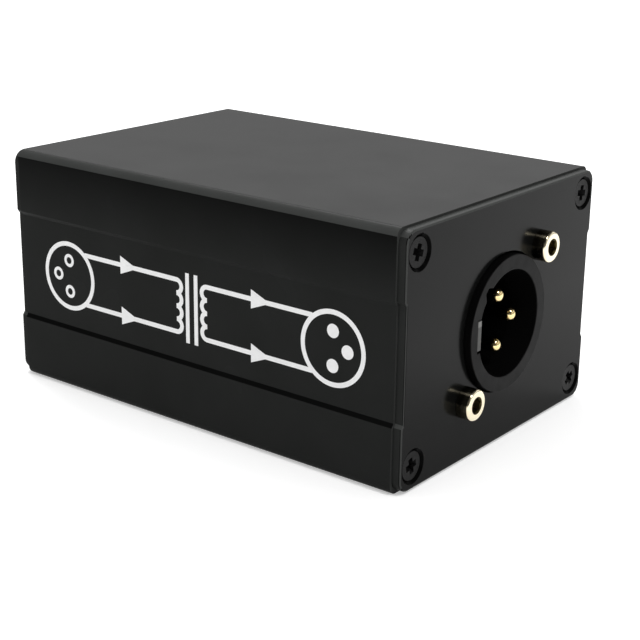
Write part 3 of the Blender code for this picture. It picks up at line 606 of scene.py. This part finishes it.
def moved(mesh, place=(0, 0, 0), turn=0.0, axis="Z"):
    """A copy of a mesh, turned by some degrees about an axis and then moved."""
    copy = mesh.copy()
    copy.transform(Matrix.Translation(place) @ Matrix.Rotation(math.radians(turn), 4, axis))
    return copy


def shaped(mesh, cuts=(), joins=()):
    """A mesh with others joined on and then others cut out of it."""
    guide = bpy.data.objects.new("shaped", mesh)
    bpy.context.scene.collection.objects.link(guide)
    helpers = []
    for operation, others in (("UNION", joins), ("DIFFERENCE", cuts)):
        for other in others:
            helper = bpy.data.objects.new("helper", other)
            bpy.context.scene.collection.objects.link(helper)
            helpers.append(helper)
            boolean = guide.modifiers.new("shape", "BOOLEAN")
            boolean.operation = operation
            boolean.solver = "EXACT"
            boolean.object = helper
    result = evaluated(guide)
    for helper in helpers:
        bpy.data.objects.remove(helper)
    return result


# %% [markdown]
# A finished mesh becomes a piece: it is smoothed except where its faces meet at an angle, its
# broad faces keep their own direction of shading, it rides on the frame's one body, and it hides
# the solid that it stands for.

# %% Pieces
pieces = []


def shade(piece, angle=32):
    """Smooth shading between nearly flush faces, led by the broad ones."""
    piece.data.shade_smooth()
    piece.data.set_sharp_from_angle(angle=math.radians(angle))
    weighted = piece.modifiers.new("broad_faces_lead", "WEIGHTED_NORMAL")
    weighted.keep_sharp = True
    weighted.weight = 80


def add_piece(name, mesh, material, node=None, matrix=Matrix()):
    piece = bpy.data.objects.new(name, mesh)
    bpy.context.scene.collection.objects.link(piece)
    piece.matrix_world = matrix
    if not any(mesh.materials):
        mesh.materials.clear()
        mesh.materials.append(material)
    shade(piece)
    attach(piece, "root")
    if node:
        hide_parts(node)
    pieces.append(piece)
    return piece


def second_finish(mesh, material, chosen):
    """Give the faces whose middle and normal are chosen another finish."""
    mesh.materials.append(material)
    for face in mesh.polygons:
        if chosen(face.center / MM, face.normal):
            face.material_index = len(mesh.materials) - 1


def at(end, place=(0, 0)):
    """Matrix for something at a point of an end's face."""
    return ENDS[end] @ Matrix.Translation((*place, 0))


# %% [markdown]
# ## Case
# The case is one length of extrusion: rounded long edges, a shallow sunk band along both sides
# for the printing, a round boss with a screw hole in each inner corner, and two pairs of ribs
# that the board slides between. As every slice of it is the same, it is drawn once as an outline
# and given its length.

# %% Case
HALF_WIDTH = case_high.y
HALF_HEIGHT = case_high.z - MID_HEIGHT
BAND_DEPTH = 0.5 * MM
BAND_HALF = 9.8 * MM
BAND_SLOPE = 0.7 * MM
SCREW_X = 26.05 * MM
SCREW_Y = 17.9 * MM
WALL_X = HALF_WIDTH - 2.2 * MM
WALL_Y = HALF_HEIGHT - 1.9 * MM
BOSS_RADIUS = 3.5 * MM
SEAM_SHARE = 0.07 * MM
TOP_EDGE = 42.8
TOP_TILT = 0.97
TURN_TILT = 0.93
SIDE_TILT = 0.26
STEP_LOW, STEP_HIGH = 11.6, 12.6


def case_outline(corner, inset=0.0):
    """Outer section, with the sunk band's edges slightly rounded."""
    x = HALF_WIDTH - inset
    quarter = [(x - BAND_DEPTH, BAND_HALF, 0.3 * MM), (x, BAND_HALF + BAND_SLOPE, 0.3 * MM),
               (x, HALF_HEIGHT - inset, corner)]
    return softened(fourfold(quarter), 8)


def cavity_outline():
    """Inner section: the ribs and a part of each boss's circle."""
    corners = []
    board_low, board_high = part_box("circuit_board")
    gap = 0.3 * MM
    rib_depth = 1.6 * MM
    rib_thick = 0.9 * MM
    slot_low = MID_HEIGHT - board_high.z - gap
    slot_high = MID_HEIGHT - board_low.z + gap
    for low, high in ((slot_low - rib_thick, slot_low), (slot_high, slot_high + rib_thick)):
        corners += [(WALL_X, low, 0), (WALL_X - rib_depth, low, 0), (WALL_X - rib_depth, high, 0),
                    (WALL_X, high, 0)]
    start = -math.acos((WALL_X - SCREW_X) / BOSS_RADIUS)
    end = -math.pi - math.asin((WALL_Y - SCREW_Y) / BOSS_RADIUS)
    for step in range(17):
        angle = start + (end - start) * step / 16
        corners.append((SCREW_X + BOSS_RADIUS * math.cos(angle), SCREW_Y + BOSS_RADIUS * math.sin(angle), 0))
    return [corner[:2] for corner in fourfold(corners)]


screw_places = [(x, y) for x in (-SCREW_X, SCREW_X) for y in (-SCREW_Y, SCREW_Y)]
boss_holes = [circle(1.6 * MM, 24, place) for place in screw_places]
case_length = case_high.x - case_low.x + 2 * SEAM_SHARE
case_mesh = flat_mesh([case_outline(1.6 * MM), cavity_outline(), *boss_holes], case_length, 0.04 * MM)
case_mesh.transform(ENDS["male"].to_3x3().to_4x4())
case_mesh.transform(Matrix.Translation((case_length / 2, 0, MID_HEIGHT)))
case_mesh.materials.append(anodised_case)
# Painted light and shade: each kind of the case's faces gets its own lit or shaded copy of the finish.
second_finish(case_mesh, anodised_top_painted_sheen, lambda middle, normal: middle.z > TOP_EDGE and normal.z > TOP_TILT)
second_finish(case_mesh, anodised_turn_painted_sheen,
              lambda middle, normal: middle.z > TOP_EDGE and TURN_TILT < normal.z < TOP_TILT)
second_finish(case_mesh, anodised_edge_painted_highlight,
              lambda middle, normal: middle.z > TOP_EDGE and SIDE_TILT < normal.z < TURN_TILT)
second_finish(case_mesh, anodised_step_painted_shade,
              lambda middle, normal: STEP_LOW < middle.z < STEP_HIGH and normal.z > 0.3)
second_finish(case_mesh, anodised_cut_painted_light, lambda middle, normal: abs(normal.x) > 0.5)
add_piece("case_shell", case_mesh, anodised_case, "case_body")
print("case:", len(case_mesh.polygons), "faces")

# %% [markdown]
# ## End plates
# Each plate is sheet metal, cut a little smaller than the case, with one large hole for the
# socket, two small ones for its screws, and four countersunk ones in the corners. Only its front
# edge is rounded, so a block with round edges is made three times too thick and its back is cut
# off. The countersinks are cut by a turned shape whose rim is already flared, which leaves a
# fine rounded edge round each hole.

# %% End plates
PLATE_THICK = 1.6 * MM
PLATE_INSET = HALF_WIDTH - plate_high.y
CAP_OFFSET = 11.3 * MM
cap_places = [(CAP_OFFSET, CAP_OFFSET), (-CAP_OFFSET, -CAP_OFFSET)]

plate_block = flat_mesh([case_outline(2.3 * MM, PLATE_INSET)], 3 * PLATE_THICK, 0.3 * MM)
below = box_mesh((-0.1, -0.1, -0.1), (0.1, 0.1, -PLATE_THICK))
barrel_profile = [(0, 0.5), (12.95, 0.5), (12.35, -0.1), (12.35, -3), (0, -3)]
barrel_hole = turned_mesh([(r * MM, h * MM) for r, h in barrel_profile], 96)
cap_hole = turned_mesh([(r * MM, h * MM) for r, h in ((0, 0.5), (1.6, 0.5), (1.6, -3), (0, -3))], 24)
sink_profile = [(0, 0.5), (3.6, 0.5), (3.16, 0.02), (3.06, -0.06), (1.75, -1.35), (1.75, -2.0), (0, -2.0)]
sink = turned_mesh([(r * MM, h * MM) for r, h in sink_profile], 48)
plate_cuts = [below, barrel_hole, *[moved(cap_hole, (*place, 0)) for place in cap_places]]
plate_cuts += [moved(sink, (*place, 0)) for place in screw_places]
plate_mesh = shaped(plate_block, plate_cuts)
plate_mesh.materials.append(anodised_plate)
SINK_REACH = 3
BROW_X, BROW_Y = 29, 21.3


def in_sink(middle, normal):
    nearest = min((middle.xy - Vector(place) / MM).length for place in screw_places)
    return 0.1 < normal.z < 0.9 and middle.z < -0.1 and nearest < SINK_REACH


def on_brow(middle, normal):
    """The rounded front edge, and the narrow side that faces up, which get a painted highlight."""
    rounded = 0.5 < normal.z < 0.99 and (abs(middle.x) > BROW_X or abs(middle.y) > BROW_Y)
    return rounded or (abs(normal.z) < 0.5 and normal.y > 0.5)


# Painted shade in the countersinks, painted light on the rims and a painted highlight on the rounded front
# edge.
second_finish(plate_mesh, anodised_sink_painted_shade, in_sink)
second_finish(plate_mesh, anodised_rim_painted_light, lambda middle, normal: abs(normal.z) < 0.1)
second_finish(plate_mesh, anodised_brow_painted_highlight, on_brow)
for end in ENDS:
    add_piece(f"end_plate_{end}", plate_mesh, anodised_plate, f"{end}_end_plate", at(end))
print("plate:", len(plate_mesh.polygons), "faces")

# %% [markdown]
# ## Corner screws
# Eight black countersunk screws with a cross recess hold the plates. The head sits a little below
# the plate's face, so a dark ring shows round it. The recess is two crossing blades that narrow
# with depth and a cone where they meet. Screws stop at any angle, so each one is turned
# differently.

# %% Corner screws
def blade_mesh(half_top, half_foot, half_width, depth):
    """One wing pair of a cross recess, which narrows downwards."""
    outline = [(-half_top, 0.5 * MM), (-half_foot, -depth), (half_foot, -depth), (half_top, 0.5 * MM)]
    return moved(flat_mesh([outline], 2 * half_width), (0, -half_width, 0), 90, "X")


HEAD_TOP = -0.35
screw_profile = [(0, 0, 0), (2.55, 0, 0.12), (2.55, -0.18, 0.05), (1.25, -1.5, 0.1), (1.25, -8, 0),
                 (0.4, -9, 0), (0, -9, 0)]
head = softened([(r, h + HEAD_TOP, round_) for r, h, round_ in screw_profile], 3, closed=False)
screw_mesh = turned_mesh([(r * MM, h * MM) for r, h in head], 48)
blade = blade_mesh(1.8 * MM, 0.75 * MM, 0.55 * MM, 1.7 * MM)
screw_mesh = shaped(screw_mesh, [moved(blade), moved(blade, turn=90)])
SCREW_TURNS = (12, -18, 33, -8, 21, -30, 5, -14)
screw_nodes = [(end, number) for end in ENDS for number in range(1, 5)]
for (end, number), turn in zip(screw_nodes, SCREW_TURNS):
    matrix = at(end, screw_places[number - 1]) @ Matrix.Rotation(math.radians(turn), 4, "Z")
    add_piece(f"corner_screw_{end}_{number}", screw_mesh, black_steel,
              f"{end}_corner_screw_{number}", matrix)
print("corner screw:", len(screw_mesh.polygons), "faces")

# %% [markdown]
# ## Cap screws
# The sockets are held by gilt socket head cap screws, on one diagonal. Their flat faces mirror
# the bright room. Their round sides are nearly black in the photograph, because they mirror the
# black plate. Gilt of the same colour came out too light there, so the sides get painted shade
# that stands in for the mirrored plate, fading to a painted highlight towards the face. The
# hexagon has a small countersink that machining leaves, cut as a cone.

# %% Cap screws
CAP_TOP = 2.5
CAP_RADIUS = 2.75
cap_profile = [(0, CAP_TOP, 0), (CAP_RADIUS, CAP_TOP, 0.45), (CAP_RADIUS, 0.03, 0.04), (1.3, 0.03, 0),
               (1.3, -5, 0), (0, -5, 0)]
cap_rounds = softened(cap_profile, 5, closed=False)
cap_mesh = turned_mesh([(r * MM, h * MM) for r, h in cap_rounds], 64)
hexagon = moved(flat_mesh([circle(2.5 / math.sqrt(3) * MM, 6)], 2.5 * MM), (0, 0, (CAP_TOP + 1) * MM), 30)
hex_cone = turned_mesh([(0, (CAP_TOP + 0.3) * MM), (1.85 * MM, (CAP_TOP + 0.3) * MM),
                        (1.25 * MM, (CAP_TOP - 0.3) * MM), (0, (CAP_TOP - 0.3) * MM)], 48)
cap_mesh = shaped(cap_mesh, [hexagon, hex_cone])
cap_mesh.materials.append(gilt_steel)
# Painted shade on the walls of the hexagon recess.
second_finish(cap_mesh, gilt_recess_painted_shade,
              lambda middle, normal: middle.xy.length < 1.6 and middle.z > 0 and normal.z < 0.99)
second_finish(cap_mesh, cap_side_painted_light_and_shade, lambda middle, normal: middle.xy.length > 2.6 and abs(normal.z) < 0.3)
CAP_TURNS = {("male", 1): 8, ("male", 2): -16, ("female", 1): 24, ("female", 2): 3}
for (end, number), turn in CAP_TURNS.items():
    matrix = at(end, cap_places[number - 1]) @ Matrix.Rotation(math.radians(turn), 4, "Z")
    add_piece(f"cap_screw_{end}_{number}", cap_mesh, gilt_steel, f"{end}_cap_screw_{number}",
              matrix)
print("cap screw:", len(cap_mesh.polygons), "faces")

# %% [markdown]
# ## Socket housings
# Both housings are moulded barrels with a square flange behind the plate. The barrel's section is
# turned, then the flange is joined on and the openings are cut. The male one has a floor for the
# pins, a wide mouth that leads a plug in, a key notch at its upper left and a slot on the left for
# a metal strip. The female one has a deep ring gap round its carrier.

# %% Male housing
PROUD = 1.2
PLATE_BACK = -1.9
BODY_RADIUS = 10.8
BODY_BACK = -18.5
FLOOR = -15.5


def outer_profile(mouth):
    """Lip, barrel and body, from the mouth's edge to the back."""
    return [(mouth, PROUD, 0.2), (12.05, PROUD, 0.15), (12.05, PLATE_BACK, 0), (BODY_RADIUS, PLATE_BACK, 0),
            (BODY_RADIUS, BODY_BACK, 0.3)]


def turned_part(profile, count=96, closed=False):
    rounded = softened(profile, 5, closed)
    return turned_mesh([(r * MM, h * MM) for r, h in rounded], count, closed)


def flange_mesh():
    outline = softened(fourfold([(14.2 * MM, 14.2 * MM, 3 * MM)]), 8)
    taps = [circle(1.6 * MM, 24, place) for place in cap_places]
    flange = flat_mesh([outline, circle(10.3 * MM, 96), *taps], 2.6 * MM, 0.1 * MM)
    return moved(flange, (0, 0, PLATE_BACK * MM))


contact_places = [(0, 4.5 * MM), (4.5 * MM, 0), (0, -4.5 * MM)]
male_profile = [(0, FLOOR, 0), (8.3, FLOOR, 0.3), (8.3, -3.5, 0.8), *outer_profile(9.45), (0, BODY_BACK, 0)]
male_mesh = turned_part(male_profile)
pin_hole = turned_mesh([(0, -14 * MM), (1.5 * MM, -14 * MM), (1.5 * MM, -20 * MM), (0, -20 * MM)], 32)
strip_slot = box_mesh((-9.95 * MM, -2.95 * MM, -4.3 * MM), (-7.3 * MM, 2.95 * MM, 3 * MM))
notch_corners = [(8, -2.3, 0), (10.6, -0.6, 0.4), (10.6, 0.6, 0.4), (8, 2.3, 0)]
notch_outline = [(x * MM, y * MM) for x, y in softened(notch_corners)]
key_notch = moved(flat_mesh([notch_outline], 6.5 * MM), (0, 0, 3 * MM), 135)
pin_holes = [moved(pin_hole, (*place, 0)) for place in contact_places]
male_mesh = shaped(male_mesh, [*pin_holes, strip_slot, key_notch], [flange_mesh()])
male_mesh.materials.append(socket_nylon)
second_finish(male_mesh, shaded_nylon, lambda middle, normal: middle.xy.length < 10.6 and middle.z < 1.1)
add_piece("male_barrel", male_mesh, socket_nylon, "male_housing", at("male"))
print("male housing:", len(male_mesh.polygons), "faces")

# %% [markdown]
# The strip in the slot is a bent piece of nickelled sheet that a plug's latch catches behind. It
# is drawn as a flat bar with round edges, standing on its end. Its nickel is darkened with painted
# shade, and its upper end is lighter with a painted highlight.

# %% Catch strip
strip_outline = softened(fourfold([(0.575 * MM, 2.65 * MM, 0.15 * MM)]), 4)
strip_mesh = moved(flat_mesh([strip_outline], 5 * MM, 0.12 * MM), (-9.075 * MM, 0, 1 * MM))
strip_mesh.materials.append(nickel)
add_piece("catch_strip", strip_mesh, nickel, "male_catch_plate", at("male"))
print("strip:", len(strip_mesh.polygons), "faces")

# %% [markdown]
# ## Contacts
# The three pins are turned brass with round gilt tips. Their shafts lie in the dark barrel and look
# black in the photograph, so they get painted shade, a darker gilt like the screws' sides. Behind the
# housing each one becomes a thin square-cut tail that bends down to the board, so the pin and its
# tail are one piece: a turned bar joined with a wire that follows the bend.

# %% Pins and tails
TAIL_DEPTHS = (26.5, 24.5, 22.5)
board_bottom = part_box("circuit_board")[0].z
TAIL_FOOT = board_bottom - 1.2 * MM - MID_HEIGHT


def tail_mesh(place, start, depth):
    """A round wire out of a contact's back and down, with a small radius at the bend."""
    bend = 0.9
    foot = TAIL_FOOT / MM
    x, y = place[0] / MM, place[1] / MM
    arc = [(y - bend + bend * math.cos(a), -depth + bend - bend * math.sin(a))
           for a in [math.pi / 2 * step / 6 for step in range(7)]]
    path = [(x, y, start), *[(x, h, z) for h, z in arc], (x, foot, -depth)]
    curve = bpy.data.curves.new("tail", "CURVE")
    curve.dimensions = "3D"
    curve.bevel_depth = 0.5 * MM
    curve.bevel_resolution = 3
    curve.use_fill_caps = True
    spline = curve.splines.new("POLY")
    spline.points.add(len(path) - 1)
    for point, spot in zip(spline.points, path):
        point.co = (*[value * MM for value in spot], 1)
    guide = bpy.data.objects.new("tail", curve)
    bpy.context.scene.collection.objects.link(guide)
    return evaluated(guide)


pin_profile = [(0, -0.4, 0), (1.2, -0.4, 1.05), (1.2, -19.5, 0), (0, -19.5, 0)]
pin_mesh = turned_part(pin_profile, 40)
pin_mesh.materials.append(gilt_contact)
# Painted shade on the pins' shafts.
second_finish(pin_mesh, gilt_painted_shade, lambda middle, normal: middle.z < -1.4 and abs(normal.z) < 0.3)
for number, (place, depth) in enumerate(zip(contact_places, TAIL_DEPTHS), 1):
    mesh = shaped(moved(pin_mesh, (*place, 0)), joins=[tail_mesh(place, -18.6, depth)])
    add_piece(f"pin_{number}", mesh, gilt_contact, f"male_pin_{number}", at("male"))
print("pin:", len(mesh.polygons), "faces")

# %% [markdown]
# ## Female end
# The other end takes a plug's three pins. Its carrier is a cylinder with a countersunk entry for
# each pin and a slot down its side, held from behind by a rim. Behind each entry is a gilt sleeve.

# %% Female housing, carrier and sleeves
female_profile = [(8.2, FLOOR, 0), (9.6, FLOOR, 0), *outer_profile(9.6), (8.2, BODY_BACK, 0)]
female_mesh = shaped(turned_part(female_profile, closed=True), joins=[flange_mesh()])
female_mesh.materials.append(socket_nylon)
second_finish(female_mesh, shaded_nylon, lambda middle, normal: middle.xy.length < 9.7 and middle.z < 1.1)
add_piece("female_barrel", female_mesh, socket_nylon, "female_housing", at("female"))

carrier_profile = [(0, -0.4, 0), (7.9, -0.4, 0.35), (7.9, -18.8, 0), (10, -18.8, 0.15), (10, -20.4, 0.15),
                   (0, -20.4, 0)]
entry_profile = [(0, 0.5), (2.6, 0.5), (1.5, -0.75), (1.5, -1.9), (1.9, -1.9), (1.9, -21.4), (0, -21.4)]
entry = turned_mesh([(r * MM, h * MM) for r, h in entry_profile], 48)
side_slot = box_mesh((-9 * MM, -1.1 * MM, -15.5 * MM), (-7 * MM, 1.1 * MM, 1 * MM))
carrier_mesh = shaped(turned_part(carrier_profile), [*[moved(entry, (*place, 0)) for place in contact_places],
                                                     side_slot])
add_piece("carrier", carrier_mesh, socket_nylon, "contact_carrier", at("female"))

sleeve_profile = [(0, -13.5, 0), (1.25, -13.5, 0), (1.25, -2.2, 0.1), (1.6, -2.2, 0.1), (1.6, -21.1, 0),
                  (0, -21.1, 0)]
sleeve_mesh = turned_part(sleeve_profile, 40)
for number, (place, depth) in enumerate(zip(contact_places, TAIL_DEPTHS), 1):
    mesh = shaped(moved(sleeve_mesh, (*place, 0)), joins=[tail_mesh(place, -20.2, depth)])
    add_piece(f"sleeve_{number}", mesh, gilt_contact, f"female_contact_{number}", at("female"))
print("carrier:", len(carrier_mesh.polygons), "faces, sleeve:", len(mesh.polygons))

# %% [markdown]
# ## Printed graphic
# The sunk band carries a white screen print. It shows what the box does in the signs of any
# circuit diagram: a socket with three holes, a pair of wires with arrows, a transformer, and a
# socket with three pins. Ink could be painted into the case's material, but as a film a few
# hundredths of a millimetre thick it stays sharp at any distance and is a mesh in its own right.

# %% Graphic
LINE = 0.85
INK = 0.03 * MM
RING_X = 31.0
RING_RADIUS = 6.2
WIRE_Y = 4.8
COIL_X = 3.6
ARROW_X = 15.5
CORE_X = 1.0
CORE_HALF = 6.4


def band(inner, outer, centre, start=0, end=360, count=48):
    """A ring or a part of one, as an outline in millimetres."""
    angles = [math.radians(start + (end - start) * step / count) for step in range(count + 1)]
    outside = [(centre[0] + outer * math.cos(a), centre[1] + outer * math.sin(a)) for a in angles]
    inside = [(centre[0] + inner * math.cos(a), centre[1] + inner * math.sin(a)) for a in reversed(angles)]
    return outside + inside


def bar(left, right, low, high):
    return [(left, low), (right, low), (right, high), (left, high)]


def wire(left, right, y):
    return bar(left, right, y - LINE / 2, y + LINE / 2)


def ink_mesh(outline):
    return flat_mesh([[(x * MM, y * MM) for x, y in outline]], INK)


def ring_mesh(radius, line, centre):
    """A closed ring of ink."""
    rings = [circle(radius + line / 2, 64, centre), circle(radius - line / 2, 64, centre)]
    return flat_mesh([[(x * MM, y * MM) for x, y in ring] for ring in rings], INK)


ink = []
reach = math.sqrt((RING_RADIUS + LINE / 4) ** 2 - WIRE_Y ** 2)
for side in (-1, 1):
    ink.append(ring_mesh(RING_RADIUS, LINE, (side * RING_X, 0)))
    for x, y in ((0, 3), (side * 3, 0), (0, -3)):
        spot = (side * RING_X + x, y)
        if side < 0:
            ink.append(ring_mesh(0.95, 0.6, spot))
        else:
            ink.append(flat_mesh([[(a * MM, b * MM) for a, b in circle(1.2, 32, spot)]], INK))
    bump_radius = WIRE_Y / 4
    for y in (-3, -1, 1, 3):
        turn = (-90, 90) if side < 0 else (90, 270)
        ink.append(ink_mesh(band(bump_radius - LINE / 2, bump_radius + LINE / 2,
                                 (side * COIL_X, y * bump_radius), *turn, 24)))
    for y in (-WIRE_Y, WIRE_Y):
        ends = sorted((side * COIL_X, side * (RING_X - reach)))
        ink.append(ink_mesh(wire(*ends, y)))
        arrow = side * ARROW_X
        ink.append(ink_mesh([(arrow - 1.9, y - 1.7), (arrow + 2.3, y), (arrow - 1.9, y + 1.7)]))
    ink.append(ink_mesh(bar(side * CORE_X - LINE / 2, side * CORE_X + LINE / 2, -CORE_HALF, CORE_HALF)))
graphic_mesh = shaped(ink[0], joins=ink[1:])
on_band = Matrix.Translation((0, -HALF_WIDTH + BAND_DEPTH, MID_HEIGHT))
graphic_matrix = on_band @ Matrix.Rotation(math.pi / 2, 4, "X")
graphic_mesh.transform(Matrix.Translation((0, 0, INK)))
graphic_mesh.transform(graphic_matrix)
add_piece("signal_graphic", graphic_mesh, white_ink)
print("graphic:", len(graphic_mesh.polygons), "faces")

# %% [markdown]
# ## Inside
# The board, the transformer's core and coils, its terminals and its clamp keep their solids and
# only get their finishes.

# %% Inner parts
INNER = {
    "circuit_board": solder_mask,
    "transformer_core_e": core_sheets,
    "transformer_core_i": core_sheets,
    "transformer_bobbin": bobbin_nylon,
    "primary_winding": enamelled_wire,
    "secondary_winding": enamelled_wire,
    "transformer_clamp": tinned,
    **{f"terminal_{number}": tinned for number in range(1, 7)},
}
for node, material in INNER.items():
    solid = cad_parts[node]
    solid.data.materials.clear()
    solid.data.materials.append(material)
print("inner parts:", len(INNER))

# %% [markdown]
# ## Size
# The finer pieces have to stay within the solids, so how far they reach past the solids' box on each side is
# printed.

# %% Size and finish
low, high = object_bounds()
growth = (*(cad_low - low), *(high - cad_high))
print("pieces:", len(pieces), "grown by mm:", [round(value / MM, 3) for value in growth])
